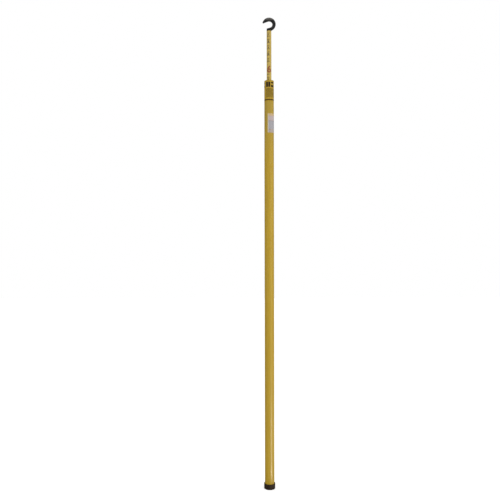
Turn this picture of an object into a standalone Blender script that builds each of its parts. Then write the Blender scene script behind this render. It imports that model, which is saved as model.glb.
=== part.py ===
"""Telescoping fibreglass measuring stick, closed, with a hook on its tip section.

Ten round tubes nest in one another. The base tube stands in a rubber boot, and each
sliding tube has a moulded plug in its foot, with a spring-loaded lock button that looks
out of the back of the tube. A button springs into the lock hole near the rim of the tube
around it when its section is drawn right out, and into the catch hole near the foot of
that tube when the section is home, which keeps the closed stick shut.

Metres, +Z up, origin on the ground under the middle of the boot. The graduations face -Y
and the buttons +Y. The hook opens towards -X.
"""

import math

import bmesh
import bpy
from mathutils import Matrix, Vector

MM = 0.001
INCH = 0.0254

# Clearances
SEAT_GAP = 0.3 * MM
SLIDE_GAP = 0.3 * MM

# Tubes
SLIDING_SECTIONS = 9
BASE_TUBE_OD = 1.5 * INCH
TUBE_WALL = 0.76 * MM
BASE_RIM_HEIGHT = 1639 * MM
RIM_STEP = 0.3 * MM
TIP_EXPOSED = 201 * MM
SECTION_OVERLAP = 87 * MM

# Rubber boot
BOOT_HEIGHT = 20.8 * MM
BOOT_WALL = 3.25 * MM
BOOT_FLOOR = 6 * MM
BOOT_TAPER = 0.4 * MM
BOOT_EDGE = 1.2 * MM
SOLE_GROOVE_DEPTH = 1.2 * MM
SOLE_GROOVE_WIDTH = 2 * MM
SOLE_GROOVE_RADII = (9 * MM, 15 * MM)

# Plugs, lock buttons and their springs
BASE_PLUG_HEIGHT = 14 * MM
PLUG_HEIGHT = 11.7 * MM
PLUG_CHAMFER = 0.6 * MM
NOSE_RADIUS = 2.5 * MM
NOSE_CROWN = 0.9 * MM
SHOULDER_RADIUS = 3.5 * MM
SHOULDER_THICKNESS = 1.5 * MM
STUB_RADIUS = 1.3 * MM
STUB_LENGTH = 2 * MM
SPRING_RADIUS = 2.5 * MM
SPRING_LENGTH = 5.4 * MM
SPRING_WIRE = 0.7 * MM
SPRING_TURNS = 4

# Hook
THROAT_RADIUS = 13 * MM
THROAT_RISE = 26.7 * MM
THROAT_OFFSET = 0.5 * MM
HOOK_BAND = 13.6 * MM
HOOK_SWELL = 1.1 * MM
HOOK_FLARE = 0.9 * MM
HOOK_DEPTH = 12.7 * MM
LIP_SLOPE = math.radians(18)
ROOT_SLOPE = math.radians(20)
HOOK_START = math.radians(-112)
HOOK_END = math.radians(167)
LIP_NOSE = math.radians(5)
COLLAR_HEIGHT = 10 * MM
BAND_LIFT = 3.5 * MM
SPIGOT_LENGTH = 38 * MM
SPIGOT_CHAMFER = 1.5 * MM
PIN_RADIUS = 1.5 * MM
PIN_DROP = 18 * MM

# Facets and tolerances
TUBE_SIDES = 32
BUTTON_SIDES = 16
DRILL_SIDES = 12
WIRE_SIDES = 5
COIL_STEPS = 8
BAND_STEPS = 24
BAND_SIDES = 12
BAND_SQUARENESS = 2.6
WELD = 1e-6
SMOOTH_ANGLE = math.radians(35)


# Sizes that follow from the driving ones. Tube 0 is the base tube, and the last is the tip tube.
TIP = SLIDING_SECTIONS
NOSE_HOLE_RADIUS = NOSE_RADIUS + SEAT_GAP
POP_OUT = SLIDE_GAP + TUBE_WALL
BUTTON_RISE = PLUG_HEIGHT / 2
TURN_TO_BACK = (-math.pi / 2, 0, 0)


def outer_radius(index):
    return BASE_TUBE_OD / 2 - index * (TUBE_WALL + SLIDE_GAP)


def inner_radius(index):
    return outer_radius(index) - TUBE_WALL


def plug_height(index):
    return BASE_PLUG_HEIGHT if index == 0 else PLUG_HEIGHT


def foot_height(index):
    """Lower end of a tube in the closed stick: each plug rests on the one below it."""
    below = sum(plug_height(k) + SEAT_GAP for k in range(index))
    return BOOT_FLOOR + SEAT_GAP + below


def rim_height(index):
    return BASE_RIM_HEIGHT + (TIP_EXPOSED if index == TIP else index * RIM_STEP)


def lock_hole_height(index):
    """The hole near a tube's rim that takes the button of the section inside it."""
    return rim_height(index) - SECTION_OVERLAP + BUTTON_RISE


def catch_hole_height(index):
    """The hole near a tube's foot that takes the same button when the stick is closed."""
    return foot_height(index + 1) + BUTTON_RISE


def shoulder_face(index):
    """How far back from the axis a pressed button's shoulder is: it meets the tube's wall popped out."""
    wall = math.sqrt(inner_radius(index) ** 2 - SHOULDER_RADIUS**2)
    return wall - SEAT_GAP - POP_OUT


def finish(name, colour, roughness, metallic=0.0):
    material = bpy.data.materials.new(name)
    material.use_nodes = True
    shader = material.node_tree.nodes["Principled BSDF"]
    shader.inputs["Base Color"].default_value = (*colour, 1)
    shader.inputs["Roughness"].default_value = roughness
    shader.inputs["Metallic"].default_value = metallic
    return material


def new_object(name, bm, material=None, parent=None, location=(0, 0, 0), rotation=(0, 0, 0)):
    mesh = bpy.data.meshes.new(name)
    bm.to_mesh(mesh)
    bm.free()
    mesh.shade_smooth()
    mesh.set_sharp_from_angle(angle=SMOOTH_ANGLE)
    if material:
        mesh.materials.append(material)
    obj = bpy.data.objects.new(name, mesh)
    bpy.context.scene.collection.objects.link(obj)
    obj.parent = parent
    obj.location = location
    obj.rotation_euler = rotation
    return obj


def turned(profile, sides, ring=False):
    """A solid turned about Z from (radius, height) points. A ring's profile closes on itself."""
    bm = bmesh.new()
    points = [bm.verts.new((0, radius, height)) for radius, height in profile]
    following = points[1:] + points[:1] if ring else points[1:]
    edges = [bm.edges.new(pair) for pair in zip(points, following)]
    bmesh.ops.spin(
        bm, geom=points + edges, cent=(0, 0, 0), axis=(0, 0, 1), angle=2 * math.pi, steps=sides
    )
    bmesh.ops.remove_doubles(bm, verts=bm.verts, dist=WELD)
    bmesh.ops.dissolve_degenerate(bm, edges=bm.edges, dist=WELD)
    bmesh.ops.recalc_face_normals(bm, faces=bm.faces)
    return bm


def rods(radius, ends, sides):
    """Straight rods from one point to another, all in one mesh."""
    bm = bmesh.new()
    for start, end in ends:
        along = Vector(end) - Vector(start)
        turn = along.to_track_quat("Z", "Y").to_matrix().to_4x4()
        bmesh.ops.create_cone(
            bm,
            cap_ends=True,
            segments=sides,
            radius1=radius,
            radius2=radius,
            depth=along.length,
            matrix=Matrix.Translation(Vector(start) + along / 2) @ turn,
        )
    return bm


def skin(bm, rings):
    """Joins rings of points, in order, into a closed skin with a cap at each end."""
    loops = [[bm.verts.new(point) for point in ring] for ring in rings]
    for lower, upper in zip(loops, loops[1:]):
        for k, corner in enumerate(lower):
            after = (k + 1) % len(lower)
            bm.faces.new((corner, lower[after], upper[after], upper[k]))
    bm.faces.new(loops[0])
    bm.faces.new(loops[-1])
    bmesh.ops.recalc_face_normals(bm, faces=bm.faces)


def boolean(obj, other, operation):
    """Cuts obj with the other object, or joins the two, and keeps the other as a wire guide."""
    other.hide_render = True
    other.display_type = "WIRE"
    modifier = obj.modifiers.new(other.name, "BOOLEAN")
    modifier.operation = operation
    modifier.solver = "EXACT"
    modifier.object = other


def drill_back(obj, radius, near, far, heights):
    """Drills the back of a piece with holes along Y at these heights."""
    ends = [((0, near, height), (0, far, height)) for height in heights]
    cutter = new_object(f"{obj.name}_drill", rods(radius, ends, DRILL_SIDES), parent=obj.parent)
    boolean(obj, cutter, "DIFFERENCE")


def group(name, height):
    """An empty on the stick's axis that carries the pieces of one section."""
    empty = bpy.data.objects.new(name, None)
    bpy.context.scene.collection.objects.link(empty)
    empty.location = (0, 0, height)
    return empty


def make_tube(index, name, section, material):
    """A pultruded tube with its catch hole, its lock hole and, if it slides, its own button's hole."""
    outer, inner = outer_radius(index), inner_radius(index)
    foot = foot_height(index)
    length = rim_height(index) - foot
    profile = [(inner, 0), (outer, 0), (outer, length), (inner, length)]
    tube = new_object(name, turned(profile, TUBE_SIDES, ring=True), material, section)
    heights = [BUTTON_RISE] if index > 0 else []
    if index < TIP:
        heights += [catch_hole_height(index) - foot, lock_hole_height(index) - foot]
    drill_back(tube, NOSE_HOLE_RADIUS, inner - NOSE_RADIUS, outer + NOSE_RADIUS, heights)
    return tube


def make_plug(index, name, section, material):
    """A moulded plug, flush with the foot of its tube. A sliding one is bored for the lock."""
    radius = inner_radius(index) - SEAT_GAP
    waist = radius - PLUG_CHAMFER
    top = plug_height(index)
    profile = [
        (0, 0),
        (waist, 0),
        (radius, PLUG_CHAMFER),
        (radius, top - PLUG_CHAMFER),
        (waist, top),
        (0, top),
    ]
    plug = new_object(name, turned(profile, TUBE_SIDES), material, section)
    if index > 0:
        blind = shoulder_face(index) - SHOULDER_THICKNESS - SPRING_LENGTH - 2 * SEAT_GAP
        bore = SHOULDER_RADIUS + SEAT_GAP
        drill_back(plug, bore, blind, radius + SHOULDER_RADIUS, [BUTTON_RISE])


def make_button(index, section, material):
    """A turned button, pressed flush with its tube: crowned nose, shoulder and spring stub."""
    face = shoulder_face(index)
    nose = outer_radius(index) - face
    back = -SHOULDER_THICKNESS
    profile = [
        (0, back - STUB_LENGTH),
        (STUB_RADIUS, back - STUB_LENGTH),
        (STUB_RADIUS, back),
        (SHOULDER_RADIUS, back),
        (SHOULDER_RADIUS, 0),
        (NOSE_RADIUS, 0),
        (NOSE_RADIUS, nose - NOSE_CROWN),
        (NOSE_RADIUS * 0.7, nose - NOSE_CROWN * 0.35),
        (0, nose),
    ]
    place = (0, face, BUTTON_RISE)
    bm = turned(profile, BUTTON_SIDES)
    new_object(f"lock_button_{index}", bm, material, section, place, TURN_TO_BACK)


def make_spring(index, section, material):
    """The button's coil spring, which stands on the blind end of the plug's bore."""
    coil = SPRING_RADIUS - SPRING_WIRE / 2
    lift = SPRING_LENGTH - SPRING_WIRE
    steps = SPRING_TURNS * COIL_STEPS
    rings = []
    for k in range(steps + 1):
        angle = 2 * math.pi * k / COIL_STEPS
        outward = Vector((math.cos(angle), math.sin(angle), 0))
        centre = outward * coil + Vector((0, 0, SPRING_WIRE / 2 + lift * k / steps))
        ring = []
        for m in range(WIRE_SIDES):
            round_wire = 2 * math.pi * m / WIRE_SIDES
            sideways = outward * math.cos(round_wire) + Vector((0, 0, math.sin(round_wire)))
            ring.append(centre + sideways * (SPRING_WIRE / 2))
        rings.append(ring)
    bm = bmesh.new()
    skin(bm, rings)
    seat = shoulder_face(index) - SHOULDER_THICKNESS - SEAT_GAP - SPRING_LENGTH
    place = (0, seat, BUTTON_RISE)
    new_object(f"button_spring_{index}", bm, material, section, place, TURN_TO_BACK)


def make_boot(material):
    """The rubber boot: a stretched cup with two ring grooves in its sole."""
    bore = outer_radius(0) + SEAT_GAP
    top = bore + BOOT_WALL
    bottom = top - BOOT_TAPER
    half = SOLE_GROOVE_WIDTH / 2
    profile = [(0, 0)]
    for ring in SOLE_GROOVE_RADII:
        profile += [
            (ring - half, 0),
            (ring - half, SOLE_GROOVE_DEPTH),
            (ring + half, SOLE_GROOVE_DEPTH),
            (ring + half, 0),
        ]
    profile += [
        (bottom - BOOT_EDGE, 0),
        (bottom, BOOT_EDGE),
        (top, BOOT_HEIGHT - BOOT_EDGE / 2),
        (top - BOOT_EDGE / 2, BOOT_HEIGHT),
        (bore, BOOT_HEIGHT),
        (bore, BOOT_FLOOR),
        (0, BOOT_FLOOR),
    ]
    new_object("boot", turned(profile, TUBE_SIDES), material)


def hook_inner(angle):
    """From the throat's centre to the hook's inner side: round, and straight at the root and the lip."""
    root_end = -math.pi / 2 + ROOT_SLOPE
    lip_start = math.pi / 2 + LIP_SLOPE
    if angle < root_end:
        return THROAT_RADIUS / math.cos(root_end - angle)
    if angle > lip_start:
        return THROAT_RADIUS / math.cos(angle - lip_start)
    return THROAT_RADIUS


def hook_outer(angle):
    """From the throat's centre to the hook's back: fullest over the top, and cut level inside the collar."""
    over_lip = max(0.0, (angle - math.pi / 2) / (HOOK_END - math.pi / 2))
    back = THROAT_RADIUS + HOOK_BAND + HOOK_SWELL * math.sin(angle) + HOOK_FLARE * over_lip
    drop = -math.sin(angle)
    return min(back, (THROAT_RISE - BAND_LIFT) / drop) if drop > 0 else back


def hook_ring(angle, share):
    """One cross-section of the hook's band, a rounded oval, at this share of its full size."""
    middle = (hook_inner(angle) + hook_outer(angle)) / 2
    half_band = (hook_outer(angle) - hook_inner(angle)) / 2 * share
    half_depth = HOOK_DEPTH / 2 * share
    power = 2 / BAND_SQUARENESS
    ring = []
    for k in range(BAND_SIDES):
        turn = 2 * math.pi * k / BAND_SIDES
        across, deep = math.cos(turn), math.sin(turn)
        reach = middle + half_band * math.copysign(abs(across) ** power, across)
        depth = half_depth * math.copysign(abs(deep) ** power, deep)
        ring.append((reach * math.cos(angle), depth, reach * math.sin(angle)))
    return ring


def make_hook(section, foot, material):
    """The moulded hook: a band round the throat, a collar on the tube's rim and a spigot in its bore."""
    rim = rim_height(TIP) - foot
    bore = inner_radius(TIP) - SEAT_GAP
    collar = outer_radius(TIP)
    seat = rim + SEAT_GAP
    profile = [
        (0, rim - SPIGOT_LENGTH),
        (bore - SPIGOT_CHAMFER, rim - SPIGOT_LENGTH),
        (bore, rim - SPIGOT_LENGTH + SPIGOT_CHAMFER),
        (bore, seat),
        (collar, seat),
        (collar, seat + COLLAR_HEIGHT - SPIGOT_CHAMFER),
        (collar - SPIGOT_CHAMFER, seat + COLLAR_HEIGHT),
        (0, seat + COLLAR_HEIGHT),
    ]
    hook = new_object("hook", turned(profile, TUBE_SIDES), material, section)
    bm = bmesh.new()
    sweep = HOOK_END - LIP_NOSE - HOOK_START
    rings = [hook_ring(HOOK_START + sweep * k / BAND_STEPS, 1) for k in range(BAND_STEPS + 1)]
    for part in (0.35, 0.65, 0.85, 0.97):
        rings.append(hook_ring(HOOK_END - LIP_NOSE * (1 - part), math.sqrt(1 - part * part)))
    skin(bm, rings)
    centre = (THROAT_OFFSET, 0, seat + THROAT_RISE)
    boolean(hook, new_object("hook_band", bm, parent=section, location=centre), "UNION")
    return hook


def pin_the_hook(hook, tube, section, foot, material):
    """The cross pin, through both walls of the tip tube and the hook's spigot."""
    height = rim_height(TIP) - PIN_DROP - foot
    reach = outer_radius(TIP)
    pin = rods(PIN_RADIUS, [((-reach, 0, height), (reach, 0, height))], BUTTON_SIDES)
    new_object("hook_pin", pin, material, section)
    ends = [((-2 * reach, 0, height), (2 * reach, 0, height))]
    hole = rods(PIN_RADIUS + SEAT_GAP, ends, BUTTON_SIDES)
    drill = new_object("hook_pin_drill", hole, parent=section)
    boolean(hook, drill, "DIFFERENCE")
    boolean(tube, drill, "DIFFERENCE")


def build():
    for obj in list(bpy.data.objects):
        bpy.data.objects.remove(obj)

    fibreglass = finish("yellow_fibreglass", (0.45, 0.29, 0.05), 0.42)
    tip_glass = finish("pale_fibreglass", (0.46, 0.35, 0.13), 0.45)
    rubber = finish("black_rubber", (0.012, 0.011, 0.010), 0.75)
    nylon = finish("black_nylon", (0.016, 0.016, 0.018), 0.32)
    plug_nylon = finish("white_nylon", (0.62, 0.60, 0.54), 0.5)
    steel = finish("steel", (0.55, 0.55, 0.56), 0.28, 1)

    base = group("base_section", foot_height(0))
    make_boot(rubber)
    make_tube(0, "base_tube", base, fibreglass)
    make_plug(0, "base_plug", base, plug_nylon)

    for index in range(1, TIP + 1):
        foot = foot_height(index)
        section = group(f"sliding_section_{index}", foot)
        is_tip = index == TIP
        name = "tip_tube" if is_tip else f"section_tube_{index}"
        tube = make_tube(index, name, section, tip_glass if is_tip else fibreglass)
        make_plug(index, f"bottom_plug_{index}", section, plug_nylon)
        make_button(index, section, steel)
        make_spring(index, section, steel)
        if is_tip:
            hook = make_hook(section, foot, nylon)
            pin_the_hook(hook, tube, section, foot, steel)


build()
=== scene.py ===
import math

import bmesh
import bpy
import numpy as np
from mathutils import Matrix, Vector


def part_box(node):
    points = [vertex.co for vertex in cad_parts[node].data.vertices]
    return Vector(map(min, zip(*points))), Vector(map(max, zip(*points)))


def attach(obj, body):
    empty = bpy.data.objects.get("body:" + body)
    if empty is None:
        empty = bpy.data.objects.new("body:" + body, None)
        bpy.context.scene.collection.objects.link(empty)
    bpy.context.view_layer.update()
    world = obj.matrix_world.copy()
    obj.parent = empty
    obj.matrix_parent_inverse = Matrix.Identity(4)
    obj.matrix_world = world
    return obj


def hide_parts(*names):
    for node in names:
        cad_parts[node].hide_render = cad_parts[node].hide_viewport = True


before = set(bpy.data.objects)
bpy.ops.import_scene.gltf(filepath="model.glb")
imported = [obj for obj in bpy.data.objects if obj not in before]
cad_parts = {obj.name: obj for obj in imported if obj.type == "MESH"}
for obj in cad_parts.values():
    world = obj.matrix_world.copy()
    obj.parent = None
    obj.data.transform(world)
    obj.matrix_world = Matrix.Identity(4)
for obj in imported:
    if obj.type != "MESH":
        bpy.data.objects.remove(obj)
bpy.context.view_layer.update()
scene = bpy.context.scene


# The camera stands level at the height of the stick's middle, square to it and a little to its left,
# so the stick stands just right of the middle of a square picture and fills it from top to bottom.
# It leans by a hair's breadth, which takes the hook a third of a picture point to the left.
CAMERA_PLACE = (-0.0779, -2.297, 0.959)
CAMERA_LEAN = 0.0016
LENS = 41.04
FILM_WIDTH = 36.0

camera = bpy.data.objects.new("camera", bpy.data.cameras.new("camera"))
camera.data.lens = LENS
camera.data.sensor_width = FILM_WIDTH
camera.location = CAMERA_PLACE
camera.rotation_euler = (math.pi / 2, CAMERA_LEAN, 0)
scene.collection.objects.link(camera)
scene.camera = camera
scene.view_settings.view_transform = "Standard"


# The studio is a plain pale floor in a white surround, with a soft upright lamp in front at the right.
# Two strip lamps on the floor, a lamp over the camera and dark cards at both sides, at the back and
# on the floor behind show only as reflections. The surround and the floor show white by themselves,
# and the floor keeps the shadow.
FLOOR_HALF_WIDTH = 9.0
FLOOR_PAINT = (0.80, 0.80, 0.80)
FLOOR_LIFT = 0.46
SURROUND_LEVEL = 0.84
LAMP_PLACE = (1.9, -1.75, 1.05)
LAMP_SIZE = (0.9, 1.9)
LAMP_POWER = 17
LAMP_AIM = (0, 0, 0.85)
STRIP_SIDE = math.radians(42)
STRIP_HEIGHT = 0.004
STRIPS = {"near_strip": (0.33, (0.06, 0.46), 1.8), "far_strip": (0.98, (0.17, 0.84), 12)}
HIGH_LAMP_PLACE = (-0.1, -2.0, 3.5)
HIGH_LAMP_SIZE = (1.4, 0.6)
HIGH_LAMP_POWER = 26
HIGH_LAMP_AIM = (0, 0, 1.88)
UPRIGHT_ALONG = (math.pi / 2, 0, math.pi / 2)
UPRIGHT_ACROSS = (math.pi / 2, 0, 0)
FLAT = (0, 0, 0)
CARD_PAINT = (0.02, 0.02, 0.02)
CARDS = {
    "left_dark_card": ((-0.75, 1.95, 1.0), UPRIGHT_ALONG, (1.95, 1.15)),
    "right_dark_card": ((0.8, 1.95, 1.0), UPRIGHT_ALONG, (1.6, 1.15)),
    "back_dark_card": ((-1.5, 3.9, 1.0), UPRIGHT_ACROSS, (1.52, 1.15)),
    "floor_dark_card": ((-1.5, 1.9, 0.003), FLAT, (1.5, 1.98)),
    "foot_dark_card": ((0.14, 0.22, 0.003), FLAT, (0.12, 0.2)),
}


class Wire:
    """A value that varies over a surface. Sums, products and comparisons of wires add Math nodes."""

    def __init__(self, surface, socket):
        self.surface = surface
        self.socket = socket

    def maths(self, operation, *values):
        return self.surface.node("Math", {"operation": operation}, dict(enumerate(values)))

    def __add__(self, other):
        return self.maths("ADD", self, other)

    def __sub__(self, other):
        return self.maths("SUBTRACT", self, other)

    def __rsub__(self, other):
        return self.maths("SUBTRACT", other, self)

    def __mul__(self, other):
        return self.maths("MULTIPLY", self, other)

    def __gt__(self, other):
        return self.maths("GREATER_THAN", self, other)

    def __lt__(self, other):
        return self.maths("LESS_THAN", self, other)

    __radd__ = __add__
    __rmul__ = __mul__


class Surface:
    """The finish of a piece, the floor or the surround: one shader, and the nodes that feed it."""

    def __init__(self, owner, shader="Principled BSDF"):
        owner.use_nodes = True
        self.owner = owner
        self.tree = owner.node_tree
        self.shader = self.tree.nodes[shader]

    def plug(self, socket, value):
        if isinstance(value, Wire):
            self.tree.links.new(value.socket, socket)
        elif socket.type == "RGBA":
            socket.default_value = (*value, 1)
        else:
            socket.default_value = value

    def node(self, kind, settings, sockets, output=0):
        """Adds a node: its settings first, then the values or wires of its sockets."""
        node = self.tree.nodes.new("ShaderNode" + kind)
        for setting, value in settings.items():
            setattr(node, setting, value)
        for socket, value in sockets.items():
            self.plug(node.inputs[socket], value)
        return Wire(self, node.outputs[output])

    def show(self, sockets):
        for socket, value in sockets.items():
            self.plug(self.shader.inputs[socket], value)

    def mixed(self, share, without, with_it):
        """A colour between two others."""
        sockets = {0: share, 6: without, 7: with_it}
        return self.node("Mix", {"data_type": "RGBA"}, sockets, 2)

    def seen_rays(self):
        """1 for a ray from the camera, or one that a mirror or clear piece passes on."""
        rays = [
            self.node("LightPath", {}, {}, f"Is {kind} Ray")
            for kind in ("Camera", "Glossy", "Transmission")
        ]
        either = rays[0].maths("MAXIMUM", rays[0], rays[1])
        return either.maths("MAXIMUM", either, rays[2])


def add_object(name, bm, materials=()):
    """Puts a finished bmesh into the scene as an object with these materials."""
    mesh = bpy.data.meshes.new(name)
    bm.to_mesh(mesh)
    bm.free()
    for material in materials:
        mesh.materials.append(material)
    obj = bpy.data.objects.new(name, mesh)
    scene.collection.objects.link(obj)
    return obj


surround = Surface(bpy.data.worlds.new("white_surround"), "Background")
scene.world = surround.owner
level = SURROUND_LEVEL + (1 - SURROUND_LEVEL) * surround.seen_rays()
surround.show({"Color": (1, 1, 1), "Strength": level})

floor_paint = Surface(bpy.data.materials.new("pale_floor_paint"))
floor_lift = floor_paint.mixed(floor_paint.seen_rays(), (0, 0, 0), (FLOOR_LIFT,) * 3)
floor_paint.show({"Base Color": FLOOR_PAINT, "Roughness": 0.9, "Specular IOR Level": 0.1})
floor_paint.show({"Emission Color": floor_lift, "Emission Strength": 1})

bm = bmesh.new()
bmesh.ops.create_grid(bm, x_segments=1, y_segments=1, size=FLOOR_HALF_WIDTH)
floor = add_object("floor", bm, [floor_paint.owner])


def place_lamp(name, place, turn, size, power):
    """A soft box of this width and height, unseen itself."""
    lamp = bpy.data.objects.new(name, bpy.data.lights.new(name, "AREA"))
    lamp.data.shape = "RECTANGLE"
    lamp.data.size, lamp.data.size_y = size
    lamp.data.energy = power
    lamp.location = place
    lamp.rotation_euler = turn
    lamp.visible_camera = False
    scene.collection.objects.link(lamp)
    return lamp


lamp_turn = (Vector(LAMP_PLACE) - Vector(LAMP_AIM)).to_track_quat("Z", "Y").to_euler()
place_lamp("soft_lamp", LAMP_PLACE, lamp_turn, LAMP_SIZE, LAMP_POWER)
high_turn = (Vector(HIGH_LAMP_PLACE) - Vector(HIGH_LAMP_AIM)).to_track_quat("Z", "Y").to_euler()
high = place_lamp("high_lamp", HIGH_LAMP_PLACE, high_turn, HIGH_LAMP_SIZE, HIGH_LAMP_POWER)
high.visible_diffuse = False
for name, (distance, size, power) in STRIPS.items():
    strip_place = (distance * math.sin(STRIP_SIDE), -distance * math.cos(STRIP_SIDE), STRIP_HEIGHT)
    strip = place_lamp(name, strip_place, (math.pi, 0, STRIP_SIDE), size, power)
    strip.visible_diffuse = False

card_paint = Surface(bpy.data.materials.new("dark_card"))
card_paint.show({"Base Color": CARD_PAINT, "Roughness": 0.9})
for name, (card_place, card_turn, half_size) in CARDS.items():
    bm = bmesh.new()
    bmesh.ops.create_grid(bm, x_segments=1, y_segments=1, size=1)
    card = add_object(name, bm, [card_paint.owner])
    card.scale = (*half_size, 1)
    card.rotation_euler = card_turn
    card.location = card_place
    card.visible_camera = False
    card.visible_diffuse = False
    card.visible_shadow = False


# The boot is a cup of black rubber, moulded in one piece and stretched over the foot of the base tube.
# Its walls taper a little to the sole, which has two ring grooves to grip the ground.
MM = 0.001
BOOT_EDGE = 1.2 * MM
BOOT_LIP = 0.55 * MM
BOOT_TAPER = 0.4 * MM
BOOT_FLOOR = 6 * MM
BOOT_STRETCH = 0.3 * MM
SOLE_GROOVES = (9 * MM, 15 * MM)
SOLE_GROOVE_WIDTH = 2 * MM
SOLE_GROOVE_DEPTH = 1.2 * MM
SOLE_GROOVE_EDGE = 0.3 * MM
ROUND_SIDES = 96
FILLET_STEPS = 5
CREASE = math.radians(38)


def painted(red, green, blue):
    """A colour as it looks, 0 to 255 in each channel, in the shader's own scale."""
    shares = [channel / 255 for channel in (red, green, blue)]
    return tuple(s / 12.92 if s < 0.04045 else ((s + 0.055) / 1.055) ** 2.4 for s in shares)


def rounded(corners):
    """A closed profile of (radius, height) points, from corners with a fillet each."""
    profile = []
    for k, (radius, height, fillet) in enumerate(corners):
        corner = Vector((radius, height))
        if fillet == 0:
            profile.append(corner)
            continue
        before = (Vector(corners[k - 1][:2]) - corner).normalized()
        after = (Vector(corners[(k + 1) % len(corners)][:2]) - corner).normalized()
        start, end = corner + before * fillet, corner + after * fillet
        for step in range(FILLET_STEPS + 1):
            t = step / FILLET_STEPS
            profile.append(start * (1 - t) ** 2 + corner * (2 * t * (1 - t)) + end * t**2)
    return profile


def turned(profile, sides=ROUND_SIDES):
    """A solid turned about Z from a closed profile. Points on the axis meet in one."""
    bm = bmesh.new()
    points = [bm.verts.new((0, radius, height)) for radius, height in profile]
    edges = []
    for k, point in enumerate(points):
        after = points[(k + 1) % len(points)]
        if point.co.y > 0 or after.co.y > 0:
            edges.append(bm.edges.new((point, after)))
    bmesh.ops.spin(
        bm, geom=points + edges, cent=(0, 0, 0), axis=(0, 0, 1), angle=2 * math.pi, steps=sides
    )
    bmesh.ops.remove_doubles(bm, verts=bm.verts, dist=1e-6)
    bmesh.ops.dissolve_degenerate(bm, edges=bm.edges, dist=1e-6)
    bmesh.ops.recalc_face_normals(bm, faces=bm.faces)
    return bm


def place_piece(name, bm, surfaces, body, stands_for=()):
    """Makes a smooth-shaded piece with these finishes that rides on a body."""
    piece = add_object(name, bm, [surface.owner for surface in surfaces])
    piece.data.shade_smooth()
    piece.data.set_sharp_from_angle(angle=CREASE)
    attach(piece, body)
    if stands_for:
        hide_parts(*stands_for)
    return piece


class PieceSurface(Surface):
    """The finish of a piece, with its patterns laid out in the piece's own metres."""

    def __init__(self, name, sockets):
        super().__init__(bpy.data.materials.new(name))
        self.place = self.node("TexCoord", {}, {}, "Object")
        self.show(sockets)

    def along(self, axis):
        return self.node("SeparateXYZ", {}, {0: self.place}, axis)

    def noise(self, size, detail=2, stretch=(1, 1, 1)):
        """Soft random mottling, 0 to 1, whose patches are about this size before the stretch."""
        shares = tuple(1 / (size * axis) for axis in stretch)
        place = self.node("VectorMath", {"operation": "MULTIPLY"}, {0: self.place, 1: shares})
        return self.node("TexNoise", {}, {"Vector": place, "Scale": 1, "Detail": detail})

    def rise(self, value, low, high):
        """0 below low, 1 above high and a smooth step between. low may be the greater."""
        sockets = {"Value": value, "From Min": low, "From Max": high}
        return self.node("MapRange", {"interpolation_type": "SMOOTHSTEP"}, sockets)

    def bumps(self, height, depth):
        """Relief of this depth in metres, from a height of 0 to 1."""
        return self.node("Bump", {}, {"Strength": 1, "Distance": depth, "Height": height})


rubber = PieceSurface("boot_rubber", {"Specular IOR Level": 0.12})
grain = rubber.noise(0.5 * MM)
bloom = rubber.noise(9 * MM, 4)
ground_wear = rubber.rise(rubber.along("Z"), 4 * MM, 0.2 * MM)
dust = rubber.rise(bloom, 0.45, 0.75) * 0.22 + ground_wear * grain * 0.5
rubber.show(
    {
        "Base Color": rubber.mixed(dust, painted(42, 31, 22), painted(84, 70, 52)),
        "Roughness": 0.52 + 0.22 * grain + 0.15 * ground_wear,
        "Normal": rubber.bumps(grain, 0.06 * MM),
    }
)

boot_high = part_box("boot")[1]
tube_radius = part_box("base_tube")[1].x
boot_top = boot_high.x
boot_bottom = boot_top - BOOT_TAPER
boot_bore = tube_radius + BOOT_STRETCH
corners = [(0, 0, 0)]
for ring in SOLE_GROOVES:
    groove_in, groove_out = ring - SOLE_GROOVE_WIDTH / 2, ring + SOLE_GROOVE_WIDTH / 2
    corners += [
        (groove_in, 0, SOLE_GROOVE_EDGE),
        (groove_in, SOLE_GROOVE_DEPTH, SOLE_GROOVE_EDGE),
        (groove_out, SOLE_GROOVE_DEPTH, SOLE_GROOVE_EDGE),
        (groove_out, 0, SOLE_GROOVE_EDGE),
    ]
corners += [
    (boot_bottom, 0, BOOT_EDGE),
    (boot_top, boot_high.z, BOOT_LIP),
    (boot_bore, boot_high.z, BOOT_LIP),
    (boot_bore, BOOT_FLOOR, BOOT_LIP),
    (0, BOOT_FLOOR, 0),
]
place_piece("rubber_boot", turned(rounded(corners)), [rubber], "base", ["boot"])


# The base tube is pultruded from glass rovings in yellow polyester, 1.5 inches across, and cut square.
# Two holes are drilled in its back: near the foot for the catch, near the rim for the first lock. Hands
# have dulled its upper part.
TUBE_WALL = 0.76 * MM
TUBE_EDGE = 0.16 * MM
RING_SPACING = 0.1
HOLE_RADIUS = 2.8 * MM
HOLE_SIDES = 40
OVERLAP = 87 * MM
SECTIONS = 9
FOOT_DIRT_HEIGHTS = (70 * MM, 20 * MM)
GRIP_HEIGHTS = (1.3, 1.52)
LAYER_DEPTH = 0.19 * MM


def reshaped(bm, tool, operation="DIFFERENCE"):
    """A solid with a second one cut away from it, or joined to it."""
    solid, other = add_object("solid", bm), add_object("tool", tool)
    modifier = solid.modifiers.new("cut", "BOOLEAN")
    modifier.operation = operation
    modifier.solver = "EXACT"
    modifier.object = other
    result = bmesh.new()
    result.from_object(solid, bpy.context.evaluated_depsgraph_get())
    for used in (solid, other):
        bpy.data.meshes.remove(used.data)
    return result


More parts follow.
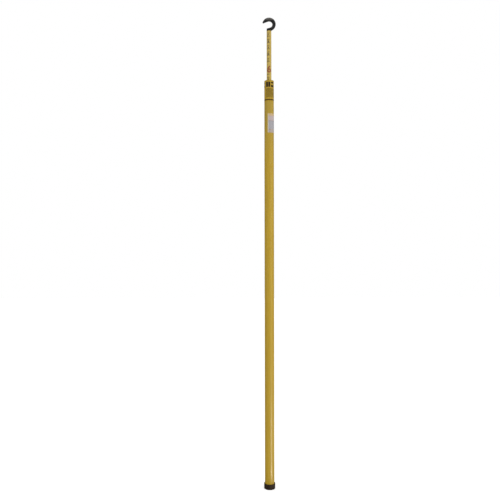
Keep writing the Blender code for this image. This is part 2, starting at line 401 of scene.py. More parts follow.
def rod(start, end, radius, sides=HOLE_SIDES):
    """A plain straight drill from one point to another."""
    along = Vector(end) - Vector(start)
    turn = along.to_track_quat("Z", "Y").to_matrix().to_4x4()
    bm = bmesh.new()
    bmesh.ops.create_cone(
        bm,
        cap_ends=True,
        segments=sides,
        radius1=radius,
        radius2=radius,
        depth=along.length,
        matrix=Matrix.Translation(Vector(start) + along / 2) @ turn,
    )
    return bm


def button_height(section):
    low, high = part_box(f"lock_button_{section}")
    return (low.z + high.z) / 2


def tube_name(section):
    if section == 0:
        return "base_tube"
    return "tip_tube" if section == SECTIONS else f"section_tube_{section}"


def body_name(section):
    if section == 0:
        return "base"
    return "tip_section" if section == SECTIONS else f"section_{section}"


def lock_hole_height(section):
    """Where the button of the next section springs out when that section is drawn right up."""
    rise = button_height(section + 1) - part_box(tube_name(section + 1))[0].z
    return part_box(tube_name(section))[1].z - OVERLAP + rise


def tube_solid(section):
    """A square-cut tube with its drilled holes, and its outer radius, by which mark_sides tells outside,
    bore and cut edge apart.
    """
    low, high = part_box(tube_name(section))
    outer = high.x
    inner = outer - TUBE_WALL
    rings = round((high.z - low.z) / RING_SPACING)
    levels = [low.z + (high.z - low.z) * k / rings for k in range(1, rings)]
    corners = [(inner, low.z, TUBE_EDGE), (outer, low.z, TUBE_EDGE)]
    corners += [(outer, height, 0) for height in levels]
    corners += [(outer, high.z, TUBE_EDGE), (inner, high.z, TUBE_EDGE)]
    corners += [(inner, height, 0) for height in reversed(levels)]
    bm = turned(rounded(corners))
    heights = [button_height(section)] if section > 0 else []
    if section < SECTIONS:
        heights += [button_height(section + 1), lock_hole_height(section)]
    for height in heights:
        start, end = (0, inner - HOLE_RADIUS, height), (0, outer + HOLE_RADIUS, height)
        bm = reshaped(bm, rod(start, end, HOLE_RADIUS))
    return bm, outer


def mark_sides(bm, outer):
    """Faces of the outside take the first finish, the bore the second and cut edges the third."""
    for face in bm.faces:
        reaches = [vert.co.xy.length for vert in face.verts]
        if max(reaches) - min(reaches) > TUBE_WALL / 3:
            face.material_index = 2
        elif min(reaches) < outer - TUBE_WALL / 2:
            face.material_index = 1
        else:
            face.material_index = 0


def laminate(name, resin, deep_resin, glass):
    """Pigmented resin over lengthwise glass rovings, with a thin clear skin and light handling wear."""
    surface = PieceSurface(name, {"Specular IOR Level": 0.24, "Coat Roughness": 0.12})
    rovings = surface.noise(2.2 * MM, 3, (1, 1, 45))
    strands = surface.noise(0.35 * MM, 2, (1, 1, 120))
    clouds = surface.noise(28 * MM, 3, (1, 1, 4))
    scratches = surface.noise(0.8 * MM, 3, (1, 1, 26))
    scuffs = surface.rise(scratches, 0.66, 0.74) * surface.rise(clouds, 0.45, 0.6)
    fleck = surface.noise(0.45 * MM, 2, (1, 1, 18))
    colour = surface.mixed(surface.rise(rovings, 0.3, 0.7) * 0.85, deep_resin, resin)
    colour = surface.mixed(surface.rise(strands, 0.52, 0.7) * 0.45, colour, glass)
    colour = surface.mixed(surface.rise(fleck, 0.64, 0.72) * 0.5, colour, glass)
    colour = surface.mixed(surface.rise(fleck, 0.36, 0.28) * 0.6, colour, deep_resin)
    colour = surface.mixed(surface.rise(clouds, 0.35, 0.75) * 0.3, colour, deep_resin)
    surface.colour = surface.mixed(scuffs * 0.45, colour, glass)
    surface.roughness = 0.36 + 0.1 * strands + 0.25 * scuffs
    surface.show(
        {
            "Base Color": surface.colour,
            "Roughness": surface.roughness,
            "Coat Weight": 0.12 - 0.1 * scuffs,
            "Normal": surface.bumps(0.6 * strands + 0.4 * rovings, 0.03 * MM),
        }
    )
    return surface


yellow_outside = laminate(
    "yellow_fibreglass", painted(190, 156, 34), painted(172, 138, 22), painted(204, 176, 78)
)
foot_dirt = yellow_outside.rise(yellow_outside.along("Z"), *FOOT_DIRT_HEIGHTS)
foot_dirt = foot_dirt * yellow_outside.rise(yellow_outside.noise(6 * MM, 4), 0.5, 0.72) * 0.22
grip_haze = yellow_outside.rise(yellow_outside.along("Z"), *GRIP_HEIGHTS)
grip_haze = grip_haze * (0.25 + 0.2 * yellow_outside.noise(14 * MM, 3, (1, 1, 3)))
hazed = yellow_outside.mixed(grip_haze, yellow_outside.colour, painted(150, 130, 64))
yellow_outside.show({"Base Color": yellow_outside.mixed(foot_dirt, hazed, painted(112, 92, 52))})

bore = PieceSurface("bare_bore", {"Specular IOR Level": 0.3})
bore_fibres = bore.noise(0.5 * MM, 3, (1, 1, 60))
bore.show(
    {
        "Base Color": bore.mixed(bore_fibres, painted(150, 120, 52), painted(196, 170, 104)),
        "Roughness": 0.55 + 0.25 * bore_fibres,
        "Normal": bore.bumps(bore_fibres, 0.05 * MM),
    }
)

cut_edge = PieceSurface("sawn_edge", {"Specular IOR Level": 0.25})
across, back = cut_edge.along("X"), cut_edge.along("Y")
reach = cut_edge.node("Math", {"operation": "SQRT"}, {0: across * across + back * back})
layers = 0.5 + 0.5 * reach.maths("SINE", reach * (2 * math.pi / LAYER_DEPTH))
broken = cut_edge.noise(0.25 * MM, 3)
cut_edge.show(
    {
        "Base Color": cut_edge.mixed(layers * broken, painted(158, 130, 66), painted(222, 206, 160)),
        "Roughness": 0.7 + 0.2 * broken,
        "Normal": cut_edge.bumps(layers * broken, 0.05 * MM),
    }
)

bm, outer = tube_solid(0)
mark_sides(bm, outer)
tube_sides = [yellow_outside, bore, cut_edge]
place_piece("base_tube_pultruded", bm, tube_sides, "base", ["base_tube"])


# Every tube is closed at its foot by a plug of off-white nylon, moulded to a tight fit and glued in.
# The one in the base tube is plain, and the closed stick stands on it.
PLUG_EDGE = 0.6 * MM
PLUG_DISH = 1.1 * MM
PLUG_SEAT_WIDTH = 2.2 * MM
PLUG_DISH_EDGES = (0.2 * MM, 0.3 * MM)

white_nylon = PieceSurface("plug_nylon", {"Subsurface Weight": 0.15, "Subsurface Scale": 0.002})
flow = white_nylon.noise(3 * MM, 3)
speckle = white_nylon.noise(0.3 * MM)
white_nylon.show(
    {
        "Base Color": white_nylon.mixed(flow, painted(196, 192, 180), painted(220, 217, 206)),
        "Roughness": 0.4 + 0.15 * speckle,
        "Normal": white_nylon.bumps(speckle, 0.02 * MM),
    }
)


def plug_solid(node):
    """A moulded plug: a disc with eased edges and a shallow dish in its top."""
    low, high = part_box(node)
    radius = high.x
    dish = radius - PLUG_SEAT_WIDTH
    upper_edge, lower_edge = PLUG_DISH_EDGES
    corners = [
        (0, low.z, 0),
        (radius, low.z, PLUG_EDGE),
        (radius, high.z, PLUG_EDGE),
        (dish, high.z, upper_edge),
        (dish - PLUG_DISH, high.z - PLUG_DISH, lower_edge),
        (0, high.z - PLUG_DISH, 0),
    ]
    return turned(rounded(corners))


place_piece("foot_plug", plug_solid("base_plug"), [white_nylon], "base", ["base_plug"])


# A band of clear film is wrapped round the top of the base tube and stops short of the lock hole at
# the back. It is printed with plain blocks and bars, fine rules and a brown border, under a gloss.
FILM_LIFT = 0.02 * MM
FILM_THICKNESS = 0.08 * MM
BAND_TOP = 1.6375
BAND_FOOT = 1.5535
BAND_HALF_ARC = math.radians(150)
BAND_CORNER = 1.5 * MM
BAND_STRIP = 1 * MM
BLOCKS = (1.6114, 1.6316)
GROUP_PITCH = 39.8 * MM
GROUP_START = -13.6 * MM
WIDE_BLOCK = (0.3 * MM, 8.5 * MM)
NARROW_BLOCK = (10.1 * MM, 17.4 * MM)
BARS = (20.7 * MM, 33.2 * MM)
UPPER_BAR = (1.6260, 1.6316)
LOWER_BAR = (1.6114, 1.6190)
RULES = (1.5705, 1.6065)
RULE_PITCH = 4.1 * MM
RULE_GAP_SHARE = 0.56
RULE_REACH = (-14 * MM, 27 * MM)
BORDER = (1.5578, 1.5632)


def plate(width, height, corner, thickness):
    """A flat film, its corners rounded, standing in the XY plane with its back at Z zero."""
    bm = bmesh.new()
    outline = []
    for across, up, start in ((1, 1, 0), (-1, 1, 90), (-1, -1, 180), (1, -1, 270)):
        centre = Vector((across * (width / 2 - corner), up * (height / 2 - corner), 0))
        for step in range(FILLET_STEPS + 1):
            angle = math.radians(start + 90 * step / FILLET_STEPS)
            outline.append(centre + corner * Vector((math.cos(angle), math.sin(angle), 0)))
    back = bm.faces.new([bm.verts.new(point) for point in outline])
    front = bmesh.ops.extrude_face_region(bm, geom=[back])["geom"]
    front = [item for item in front if isinstance(item, bmesh.types.BMVert)]
    bmesh.ops.translate(bm, vec=(0, 0, thickness), verts=front)
    bmesh.ops.recalc_face_normals(bm, faces=bm.faces)
    return bm


def in_strips(bm, pitch):
    """Cuts a flat film into upright strips, so that it can follow a tube."""
    reaches = [vert.co.x for vert in bm.verts]
    for k in range(math.ceil(min(reaches) / pitch), math.floor(max(reaches) / pitch) + 1):
        everything = bm.verts[:] + bm.edges[:] + bm.faces[:]
        bmesh.ops.bisect_plane(bm, geom=everything, plane_co=(k * pitch, 0, 0), plane_no=(1, 0, 0))
    return bm


def wrap(bm, radius, middle, height):
    """Bends a flat film round a tube: its middle at this angle to the right of the front, and height."""
    for vert in bm.verts:
        across, up, out = vert.co
        angle = middle + across / radius
        reach = radius + FILM_LIFT + out
        vert.co = (reach * math.sin(angle), -reach * math.cos(angle), height + up)
    return bm


class PrintSurface(PieceSurface):
    """A printed film on a tube, laid out across from the front and up from the ground, in metres."""

    def __init__(self, name, radius, sockets):
        super().__init__(name, sockets)
        across, back = self.along("X"), self.along("Y")
        self.across = radius * across.maths("ARCTAN2", across, back * -1)
        self.up = self.along("Z")

    def between(self, value, low, high, soft=0.15 * MM):
        """1 between two limits, with a soft printed edge."""
        return self.rise(value, low - soft, low + soft) * self.rise(value, high + soft, high - soft)

    def repeat(self, value, pitch, share):
        """1 over this share of every pitch."""
        turns = value * (1 / pitch)
        return turns.maths("FRACT", turns) < share


film_sockets = {"Specular IOR Level": 0.09, "Coat Roughness": 0.08}
film = PrintSurface("clear_film_print", tube_radius, film_sockets)
ink_wear = film.rise(film.noise(1.1 * MM, 4, (1, 1, 3)), 0.25, 0.33)
turns = (film.across - GROUP_START) * (1 / GROUP_PITCH)
in_group = turns.maths("FRACT", turns) * GROUP_PITCH
blocks = film.between(in_group, *WIDE_BLOCK) + film.between(in_group, *NARROW_BLOCK)
bars = film.between(film.up, *UPPER_BAR) + film.between(film.up, *LOWER_BAR)
blocks = blocks * film.between(film.up, *BLOCKS) + bars * film.between(in_group, *BARS)
rules = film.between(film.up, *RULES) * film.repeat(film.up, RULE_PITCH, 1 - RULE_GAP_SHARE)
rules = rules * film.between(film.across, *RULE_REACH)
border = film.between(film.up, *BORDER)
film_grain = film.noise(2.2 * MM, 3, (1, 1, 45))
colour = film.mixed(film.rise(film_grain, 0.3, 0.7), painted(166, 134, 40), painted(184, 152, 50))
colour = film.mixed(blocks * ink_wear, colour, painted(30, 18, 2))
colour = film.mixed(rules * ink_wear * 0.95, colour, painted(44, 32, 8))
colour = film.mixed(border * ink_wear, colour, painted(84, 60, 4))
film.show(
    {
        "Base Color": colour,
        "Roughness": 0.3 + 0.1 * film_grain,
        "Coat Weight": 0.05 + 0.05 * ink_wear,
        "Normal": film.bumps(film_grain, 0.02 * MM),
    }
)

band_width = 2 * BAND_HALF_ARC * tube_radius
band = plate(band_width, BAND_TOP - BAND_FOOT, BAND_CORNER, FILM_THICKNESS)
band = wrap(in_strips(band, BAND_STRIP), tube_radius, 0, (BAND_TOP + BAND_FOOT) / 2)
place_piece("printed_band", band, [film], "base")


# Below it a vinyl label is stuck on, from just left of the front round past the right-hand side.
# It has plain printed panels: a warm header, a lilac one, a ruled grey one, a warm grey foot with a dark
# dash, and a pale margin at its left.
LABEL_TOP = 1.5052
LABEL_FOOT = 1.4288
LABEL_LEFT = math.radians(-18)
LABEL_RIGHT = math.radians(112)
LABEL_CORNER = 2.2 * MM
LABEL_THICKNESS = 0.14 * MM
LABEL_MARGIN = 2.4 * MM
HEADER_FOOT = 1.4962
LILAC_FOOT = 1.4764
LINE_THICKNESS = 2.2 * MM
RULED_FOOT = 1.4435
LABEL_RULE_PITCH = 3.3 * MM
PANEL_EDGE = 0.2 * MM
MARGIN_EDGE = 0.4 * MM
DASH_DEPTHS = (3 * MM, 0.8 * MM)
DASH_REACH = (0, 5 * MM)

label_middle = (LABEL_LEFT + LABEL_RIGHT) / 2
label_width = (LABEL_RIGHT - LABEL_LEFT) * tube_radius
label_start = LABEL_LEFT * tube_radius
label_sockets = {"Specular IOR Level": 0.3, "Coat Roughness": 0.2, "Coat Weight": 0.1}
label = PrintSurface("label_vinyl", tube_radius, label_sockets)
paper = label.noise(0.4 * MM, 3)
creases = label.noise(7 * MM, 3, (1, 1, 2))
below_header = label.rise(label.up, HEADER_FOOT + PANEL_EDGE, HEADER_FOOT - PANEL_EDGE)
below_lilac = label.rise(label.up, LILAC_FOOT + PANEL_EDGE, LILAC_FOOT - PANEL_EDGE)
below_rules = label.rise(label.up, RULED_FOOT + PANEL_EDGE, RULED_FOOT - PANEL_EDGE)
parting_line = label.between(label.up, LILAC_FOOT - LINE_THICKNESS, LILAC_FOOT)
ruled = below_lilac * (1 - below_rules) * label.repeat(label.up, LABEL_RULE_PITCH, 0.35)
ruled = ruled * (label.across > label_start + 2 * LABEL_MARGIN)
dash = label.between(label.up, RULED_FOOT - DASH_DEPTHS[0], RULED_FOOT - DASH_DEPTHS[1])
dash = dash * label.between(label.across, *DASH_REACH)
margin_end = label_start + LABEL_MARGIN
margin = label.rise(label.across, margin_end, margin_end - MARGIN_EDGE)
colour = label.mixed(below_header, painted(196, 168, 124), painted(184, 167, 164))
colour = label.mixed(below_lilac, colour, painted(170, 167, 171))
colour = label.mixed(below_rules, colour, painted(171, 158, 149))
colour = label.mixed(ruled * 0.5, colour, painted(128, 124, 130))
colour = label.mixed(parting_line * 0.8, colour, painted(128, 122, 124))
colour = label.mixed(dash * 0.8, colour, painted(96, 84, 88))
colour = label.mixed(margin, colour, painted(212, 204, 182))
colour = label.mixed(label.rise(creases, 0.55, 0.8) * 0.25, colour, painted(140, 132, 124))
label.show(
    {
        "Base Color": colour,
        "Roughness": 0.42 + 0.15 * paper,
        "Normal": label.bumps(0.3 * paper + 0.7 * creases, 0.1 * MM),
    }
)

sticker = plate(label_width, LABEL_TOP - LABEL_FOOT, LABEL_CORNER, LABEL_THICKNESS)
label_height = (LABEL_TOP + LABEL_FOOT) / 2
sticker = wrap(in_strips(sticker, BAND_STRIP), tube_radius, label_middle, label_height)
place_piece("side_label", sticker, [label], "base")


# Eight more yellow tubes slide inside one another, and the paler tip tube slides in the last of them.
# Each has a bored plug in its foot, a lock button that looks out at the back and a spring behind it.
BUTTON_NECK = 2.5 * MM
BUTTON_CROWN = 0.9 * MM
STUB_EDGE = 0.3 * MM
SHOULDER_EDGE = 0.2 * MM
SHOULDER_RADIUS = 3.5 * MM
SHOULDER_THICKNESS = 1.5 * MM
STUB_RADIUS = 1.3 * MM
STUB_LENGTH = 2 * MM
BUTTON_SIDES = 48
CROWN_STEPS = 8
BORE_CLEARANCE = 0.3 * MM
SPRING_WIRE = 0.7 * MM
SPRING_TURNS = 4
SPRING_STEPS = 28
SPRING_DEAD_TURNS = 0.75
SPRING_DEAD_PITCH = 1.04 * SPRING_WIRE
WIRE_SIDES = 12
PIN_HOLE_RADIUS = 1.8 * MM
LENGTHWISE_TURN = Matrix.Rotation(-math.pi / 2, 4, "X")

section_outside = laminate(
    "sliding_fibreglass", painted(192, 160, 54), painted(172, 138, 38), painted(208, 182, 98)
)
pale_outside = laminate(
    "pale_fibreglass", painted(200, 175, 86), painted(180, 152, 66), painted(220, 202, 134)
)

steel = PieceSurface("lock_steel", {"Metallic": 1.0})
turning = steel.noise(0.12 * MM, 2, (1, 40, 1))
tarnish = steel.noise(2 * MM, 3)
steel.show(
    {
        "Base Color": steel.mixed(tarnish, painted(176, 176, 178), painted(206, 206, 208)),
        "Roughness": 0.22 + 0.14 * turning + 0.1 * tarnish,
        "Normal": steel.bumps(turning, 0.01 * MM),
    }
)


def button_solid(section):
    """A turned button: domed nose, shoulder and the stub that holds the spring."""
    low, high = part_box(f"lock_button_{section}")
    face = low.y + STUB_LENGTH + SHOULDER_THICKNESS
    neck_top = high.y - BUTTON_CROWN
    corners = [
        (0, low.y, 0),
        (STUB_RADIUS, low.y, STUB_EDGE),
        (STUB_RADIUS, low.y + STUB_LENGTH, 0),
        (SHOULDER_RADIUS, low.y + STUB_LENGTH, SHOULDER_EDGE),
        (SHOULDER_RADIUS, face, SHOULDER_EDGE),
        (BUTTON_NECK, face, 0),
    ]
    for step in range(CROWN_STEPS + 1):
        lean = math.pi / 2 * step / CROWN_STEPS
        reach = BUTTON_NECK * math.cos(lean) if step < CROWN_STEPS else 0
        corners.append((reach, neck_top + BUTTON_CROWN * math.sin(lean), 0))
    bm = turned(rounded(corners), BUTTON_SIDES)
    bm.transform(Matrix.Translation((0, 0, button_height(section))) @ LENGTHWISE_TURN)
    return bm


def spring_solid(section):
    """A coil spring with a closed turn at each end, wound about the button's own line."""
    low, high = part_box(f"button_spring_{section}")
    coil = (high.x - low.x - SPRING_WIRE) / 2
    lift = high.y - low.y - SPRING_WIRE
    live_turns = SPRING_TURNS - 2 * SPRING_DEAD_TURNS
    live_pitch = (lift - 2 * SPRING_DEAD_TURNS * SPRING_DEAD_PITCH) / live_turns
    bm = bmesh.new()
    loops = []
    for step in range(SPRING_TURNS * SPRING_STEPS + 1):
        turns = step / SPRING_STEPS
        rise = SPRING_DEAD_PITCH * min(turns, SPRING_DEAD_TURNS)
        rise += live_pitch * min(max(turns - SPRING_DEAD_TURNS, 0), live_turns)
        rise += SPRING_DEAD_PITCH * max(turns - SPRING_TURNS + SPRING_DEAD_TURNS, 0)
        angle = 2 * math.pi * turns
        outward = Vector((math.cos(angle), math.sin(angle), 0))
        centre = outward * coil + Vector((0, 0, low.y + SPRING_WIRE / 2 + rise))
        loop = []
        for side in range(WIRE_SIDES):
            lean = 2 * math.pi * side / WIRE_SIDES
            reach = outward * math.cos(lean) + Vector((0, 0, math.sin(lean)))
            loop.append(bm.verts.new(centre + reach * (SPRING_WIRE / 2)))
        loops.append(loop)
    for below, above in zip(loops, loops[1:]):
        for side in range(WIRE_SIDES):
            after = (side + 1) % WIRE_SIDES
            bm.faces.new((below[side], below[after], above[after], above[side]))
    bm.faces.new(loops[0])
    bm.faces.new(loops[-1])
    bmesh.ops.recalc_face_normals(bm, faces=bm.faces)
    bm.transform(Matrix.Translation((0, 0, button_height(section))) @ LENGTHWISE_TURN)
    return bm


pin_low, pin_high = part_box("hook_pin")
pin_height = (pin_low.z + pin_high.z) / 2

for section in range(1, SECTIONS + 1):
    body = body_name(section)
    is_tip = section == SECTIONS
    bm, outer = tube_solid(section)
    if is_tip:
        reach = 2 * outer
        bm = reshaped(bm, rod((-reach, 0, pin_height), (reach, 0, pin_height), PIN_HOLE_RADIUS))
    mark_sides(bm, outer)
    outside = pale_outside if is_tip else section_outside
    name = "tip_tube_pultruded" if is_tip else f"sliding_tube_{section}"
    place_piece(name, bm, [outside, bore, cut_edge], body, [tube_name(section)])

    plug_node = f"bottom_plug_{section}"
    spring_node = f"button_spring_{section}"
    height = button_height(section)
    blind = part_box(spring_node)[0].y - BORE_CLEARANCE
    drill = rod((0, blind, height), (0, 2 * outer, height), SHOULDER_RADIUS + BORE_CLEARANCE)
    plug = reshaped(plug_solid(plug_node), drill)
    place_piece(f"lock_plug_{section}", plug, [white_nylon], body, [plug_node])

    button, button_node = f"button_{section}", f"lock_button_{section}"
    place_piece(button, button_solid(section), [steel], button, [button_node])
    spring = spring_solid(section)
    place_piece(f"coil_spring_{section}", spring, [steel], body, [spring_node])


# The hook is moulded in black nylon in one piece with a collar, which sits on the tip tube's rim, and a
# spigot in its bore. Its band is fullest over the top, where a lighter grey sheen is painted into its
# colour as a painted highlight, and its lip and root run out straight.
THROAT_RADIUS = 13 * MM
THROAT_RISE = 26.7 * MM
THROAT_OFFSET = 0.5 * MM
HOOK_BAND = 13.6 * MM
HOOK_SWELL = 1.1 * MM
HOOK_FLARE = 0.9 * MM
HOOK_DEPTH = 12.7 * MM
LIP_SLOPE = math.radians(18)
ROOT_SLOPE = math.radians(20)
HOOK_START = math.radians(-112)
HOOK_END = math.radians(167)
LIP_NOSE = math.radians(5)
BAND_SQUARENESS = 2.6
BAND_STEPS = 96
BAND_SIDES = 36
NOSE_STEPS = 8
COLLAR_HEIGHT = 10 * MM
BAND_LIFT = 3.5 * MM
COLLAR_EDGE = 1.4 * MM
COLLAR_FOOT_EDGE = 0.4 * MM
HOOK_SEAT_GAP = 0.3 * MM
HOOK_VOXEL = 0.42 * MM
HOOK_SMOOTHING = 7
# Where the painted highlight lies on the band's crest: its heights, and its fade in from the left and
# out to the right.
CREST_SHEEN_HEIGHTS = (1.8805, 1.886)
CREST_SHEEN_FROM_LEFT = (-14 * MM, -8 * MM)
CREST_SHEEN_FROM_RIGHT = (17 * MM, 12 * MM)

nylon = PieceSurface("hook_nylon", {"Specular IOR Level": 0.17})
peel = nylon.noise(1.1 * MM, 2)
# Streaky noise for the real scuffs, which also flecks the painted highlight on the crest.
scuff_and_sheen_noise = nylon.noise(1.6 * MM, 4, (1, 4, 1))
out, depth, height = nylon.along("X"), nylon.along("Y"), nylon.along("Z")
seam = nylon.rise(depth.maths("ABSOLUTE", depth), 0.28 * MM, 0.08 * MM)
scuffs = nylon.rise(scuff_and_sheen_noise, 0.52, 0.72)
# Painted highlight: a mask over the band's crest, where a lighter grey is painted into the colour.
crest_sheen = nylon.rise(height, *CREST_SHEEN_HEIGHTS) * nylon.rise(out, *CREST_SHEEN_FROM_LEFT)
crest_sheen = crest_sheen * nylon.rise(out, *CREST_SHEEN_FROM_RIGHT)
colour = nylon.mixed(scuffs * 0.3, painted(11, 11, 12), painted(50, 46, 46))
nylon.show(
    {
        "Base Color": nylon.mixed(crest_sheen * (0.2 + 0.8 * scuff_and_sheen_noise), colour, painted(98, 94, 89)),
        "Roughness": 0.22 + 0.18 * scuffs + 0.06 * peel,
        "Normal": nylon.bumps(0.5 * peel + 0.5 * seam, 0.07 * MM),
    }
)


def hook_limits(angle):
    """How far the band's inner and outer sides are from the throat's centre at this angle."""
    root_end = -math.pi / 2 + ROOT_SLOPE
    lip_start = math.pi / 2 + LIP_SLOPE
    inner = THROAT_RADIUS / math.cos(max(root_end - angle, angle - lip_start, 0))
    over_lip = max(0, (angle - math.pi / 2) / (HOOK_END - math.pi / 2))
    outer = THROAT_RADIUS + HOOK_BAND + HOOK_SWELL * math.sin(angle) + HOOK_FLARE * over_lip
    drop = -math.sin(angle)
    return inner, min(outer, (THROAT_RISE - BAND_LIFT) / drop) if drop > 0 else outer


def hook_loop(bm, centre, angle, share):
    """One rounded cross-section of the band, at this share of its full size."""
    inner, outer = hook_limits(angle)
    middle, half_band = (inner + outer) / 2, (outer - inner) / 2 * share
    power = 2 / BAND_SQUARENESS
    loop = []
    for side in range(BAND_SIDES):
        turn = 2 * math.pi * side / BAND_SIDES
        across, deep = math.cos(turn), math.sin(turn)
        reach = middle + half_band * math.copysign(abs(across) ** power, across)
        depth = HOOK_DEPTH / 2 * share * math.copysign(abs(deep) ** power, deep)
        point = Vector((reach * math.cos(angle), depth, reach * math.sin(angle)))
        loop.append(bm.verts.new(centre + point))
    return loop


hook_low, hook_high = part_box("hook")
tip_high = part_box("tip_tube")[1]
seat = tip_high.z + HOOK_SEAT_GAP
spigot_radius = tip_high.x - TUBE_WALL - HOOK_SEAT_GAP
corners = [
    (0, hook_low.z, 0),
    (spigot_radius, hook_low.z, COLLAR_EDGE),
    (spigot_radius, seat, 0),
    (tip_high.x, seat, COLLAR_FOOT_EDGE),
    (tip_high.x, seat + COLLAR_HEIGHT, COLLAR_EDGE),
    (0, seat + COLLAR_HEIGHT, 0),
]
collar = turned(rounded(corners))
throat_centre = Vector((THROAT_OFFSET, 0, seat + THROAT_RISE))
band = bmesh.new()
sweep = HOOK_END - LIP_NOSE - HOOK_START
loops = [
    hook_loop(band, throat_centre, HOOK_START + sweep * k / BAND_STEPS, 1)
    for k in range(BAND_STEPS + 1)
]
for k in range(1, NOSE_STEPS):
    part = math.sin(math.pi / 2 * k / NOSE_STEPS)
    share = math.sqrt(1 - part * part)
    loops.append(hook_loop(band, throat_centre, HOOK_END - LIP_NOSE * (1 - part), share))
for below, above in zip(loops, loops[1:]):
    for side in range(BAND_SIDES):
        after = (side + 1) % BAND_SIDES
        band.faces.new((below[side], below[after], above[after], above[side]))
band.faces.new(loops[0])
band.faces.new(loops[-1])
bmesh.ops.recalc_face_normals(band, faces=band.faces)

hook = reshaped(collar, band, "UNION")
drill_reach = 2 * tip_high.x
drill = rod((-drill_reach, 0, pin_height), (drill_reach, 0, pin_height), PIN_HOLE_RADIUS)
hook = add_object("hook_blank", reshaped(hook, drill))
voxels = hook.modifiers.new("voxels", "REMESH")
voxels.mode = "VOXEL"
voxels.voxel_size = HOOK_VOXEL
smoothing = hook.modifiers.new("smoothing", "SMOOTH")
smoothing.factor = 0.5
smoothing.iterations = HOOK_SMOOTHING
moulded = bmesh.new()
moulded.from_object(hook, bpy.context.evaluated_depsgraph_get())
bpy.data.meshes.remove(hook.data)
place_piece("moulded_hook", moulded, [nylon], "tip_section", ["hook"])


# A straight steel pin, pressed through both walls of the tip tube and the spigot, holds the hook on.
# Its ends are rounded and lie flush with the tube.
PIN_END = 0.5 * MM

pin_radius = (pin_high.z - pin_low.z) / 2
corners = [
    (0, pin_low.x, 0),
    (pin_radius, pin_low.x, PIN_END),
    (pin_radius, pin_high.x, PIN_END),
    (0, pin_high.x, 0),
]
pin = turned(rounded(corners), BUTTON_SIDES)
pin.transform(Matrix.Translation((0, 0, pin_height)) @ Matrix.Rotation(math.pi / 2, 4, "Y"))
place_piece("cross_pin", pin, [steel], "tip_section", ["hook_pin"])


# The scale is printed down the front of the nine sliding tubes in inches and feet, and is read where a
# tube leaves the base tube's rim: it gives the height of the hook's seat over the ground. A tall red
# figure marks each foot, and the inch below it has none of its own.
INCH = 0.0254
HOOK_CREST = 14.7 * MM
PRINT_THICKNESS = 0.03 * MM
PRINT_STRIP = 0.7 * MM
INCH_NUMERAL = 9 * MM
INCH_WEIGHT = 0.45 * MM
FOOT_NUMERAL = 37 * MM
FOOT_WEIGHT = 1.2 * MM
FOOT_NUMERAL_DROP = 5 * MM
INCH_LINE = (12 * MM, 1.9 * MM)
HALF_LINE = (10 * MM, 1.8 * MM)
NUMERAL_LIFT = 5.2 * MM
SCALE_SHIFT = -3.6 * MM
SCALE_MARGIN = 3 * MM
INCHES_IN_A_FOOT = 12

black_ink = PieceSurface("black_scale_ink", {"Specular IOR Level": 0.3})
worn = black_ink.rise(black_ink.noise(0.7 * MM, 4), 0.26, 0.34)
black_ink.show(
    {
        "Base Color": black_ink.mixed(worn, painted(150, 128, 70), painted(24, 19, 10)),
        "Roughness": 0.62 - 0.12 * worn,
        "Coat Weight": 0.2 * worn,
    }
)
red_ink = PieceSurface("red_scale_ink", {"Specular IOR Level": 0.3})
worn = red_ink.rise(red_ink.noise(0.9 * MM, 4), 0.28, 0.38)
red_ink.show(
    {
        "Base Color": red_ink.mixed(worn, painted(182, 146, 84), painted(144, 76, 34)),
        "Roughness": 0.6 - 0.12 * worn,
        "Coat Weight": 0.2 * worn,
    }
)


def numeral(text, size, weight):
    """A number as a thin flat film, in strips, as its points and faces."""
    curve = bpy.data.curves.new("numeral", "FONT")
    curve.body = text
    curve.size = size
    curve.offset = weight
    curve.extrude = PRINT_THICKNESS / 2
    curve.resolution_u = 3
    curve.align_x = "CENTER"
    curve.align_y = "CENTER"
    writer = bpy.data.objects.new("numeral", curve)
    scene.collection.objects.link(writer)
    written = writer.evaluated_get(bpy.context.evaluated_depsgraph_get())
    mesh = bpy.data.meshes.new_from_object(written)
    bm = bmesh.new()
    bm.from_mesh(mesh)
    bpy.data.meshes.remove(mesh)
    bpy.data.curves.remove(curve)
    bmesh.ops.remove_doubles(bm, verts=bm.verts, dist=1e-6)
    return flat_print(bm)


def flat_print(bm):
    """The points and faces of a film in strips, its middle on the origin."""
    in_strips(bm, PRINT_STRIP)
    points = np.array([vert.co for vert in bm.verts])
    points[:, :2] -= (points[:, :2].min(0) + points[:, :2].max(0)) / 2
    points[:, 2] -= points[:, 2].min()
    bm.verts.index_update()
    faces = [[vert.index for vert in face.verts] for face in bm.faces]
    bm.free()
    return points, faces


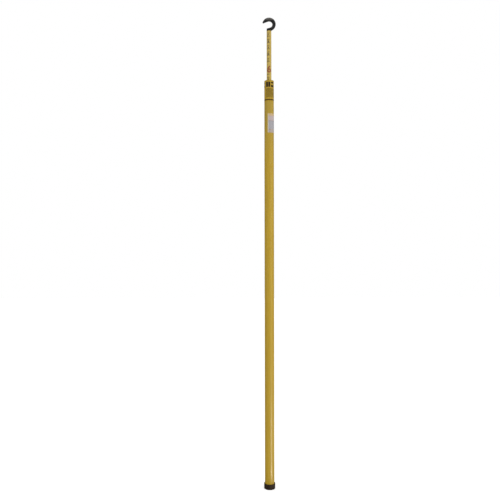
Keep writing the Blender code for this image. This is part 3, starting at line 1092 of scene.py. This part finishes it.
inch_numerals = [numeral(str(k), INCH_NUMERAL, INCH_WEIGHT) for k in range(INCHES_IN_A_FOOT)]
lines = {
    size: flat_print(plate(*size, size[1] / 4, PRINT_THICKNESS))
    for size in (INCH_LINE, HALF_LINE)
}
hook_seat = hook_high.z - HOOK_CREST
base_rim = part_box("base_tube")[1].z
drawn_out = 0
for section in range(SECTIONS, 0, -1):
    low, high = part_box(tube_name(section))
    radius = high.x
    reading_at_ground = hook_seat + drawn_out + base_rim
    top = high.z - SCALE_MARGIN
    prints = []
    first = math.ceil((reading_at_ground - top) / INCH * 2)
    last = math.floor((reading_at_ground - low.z - OVERLAP) / INCH * 2)
    for half_inches in range(first, last + 1):
        height = reading_at_ground - half_inches * INCH / 2
        inches = half_inches // 2
        beside_foot = (half_inches + 1) // 2 % INCHES_IN_A_FOOT == 0 or inches % INCHES_IN_A_FOOT == 0
        if half_inches % 2:
            if not beside_foot:
                prints.append((lines[HALF_LINE], height, 0))
        elif inches % INCHES_IN_A_FOOT:
            prints.append((lines[INCH_LINE], height, 0))
            if inches % INCHES_IN_A_FOOT > 1:
                prints.append((inch_numerals[inches % INCHES_IN_A_FOOT], height + NUMERAL_LIFT, 0))
        else:
            foot = numeral(str(inches // INCHES_IN_A_FOOT), FOOT_NUMERAL, FOOT_WEIGHT)
            prints.append((foot, height - FOOT_NUMERAL_DROP, 1))
    points, faces, inks = [], [], []
    for (flat, flat_faces), height, ink in prints:
        if height + flat[:, 1].max() >= top:
            continue
        start = sum(len(group) for group in points)
        angle = (flat[:, 0] + (0 if ink else SCALE_SHIFT)) / radius
        reach = radius + FILM_LIFT + flat[:, 2]
        points.append(np.stack((reach * np.sin(angle), -reach * np.cos(angle), flat[:, 1] + height), 1))
        faces += [[start + corner for corner in face] for face in flat_faces]
        inks += [ink] * len(flat_faces)
    mesh = bpy.data.meshes.new("scale")
    mesh.from_pydata(np.concatenate(points).tolist(), [], faces)
    mesh.polygons.foreach_set("material_index", inks)
    bm = bmesh.new()
    bm.from_mesh(mesh)
    bpy.data.meshes.remove(mesh)
    place_piece(f"printed_scale_{section}", bm, [black_ink, red_ink], body_name(section))
    drawn_out += lock_hole_height(section - 1) - button_height(section)
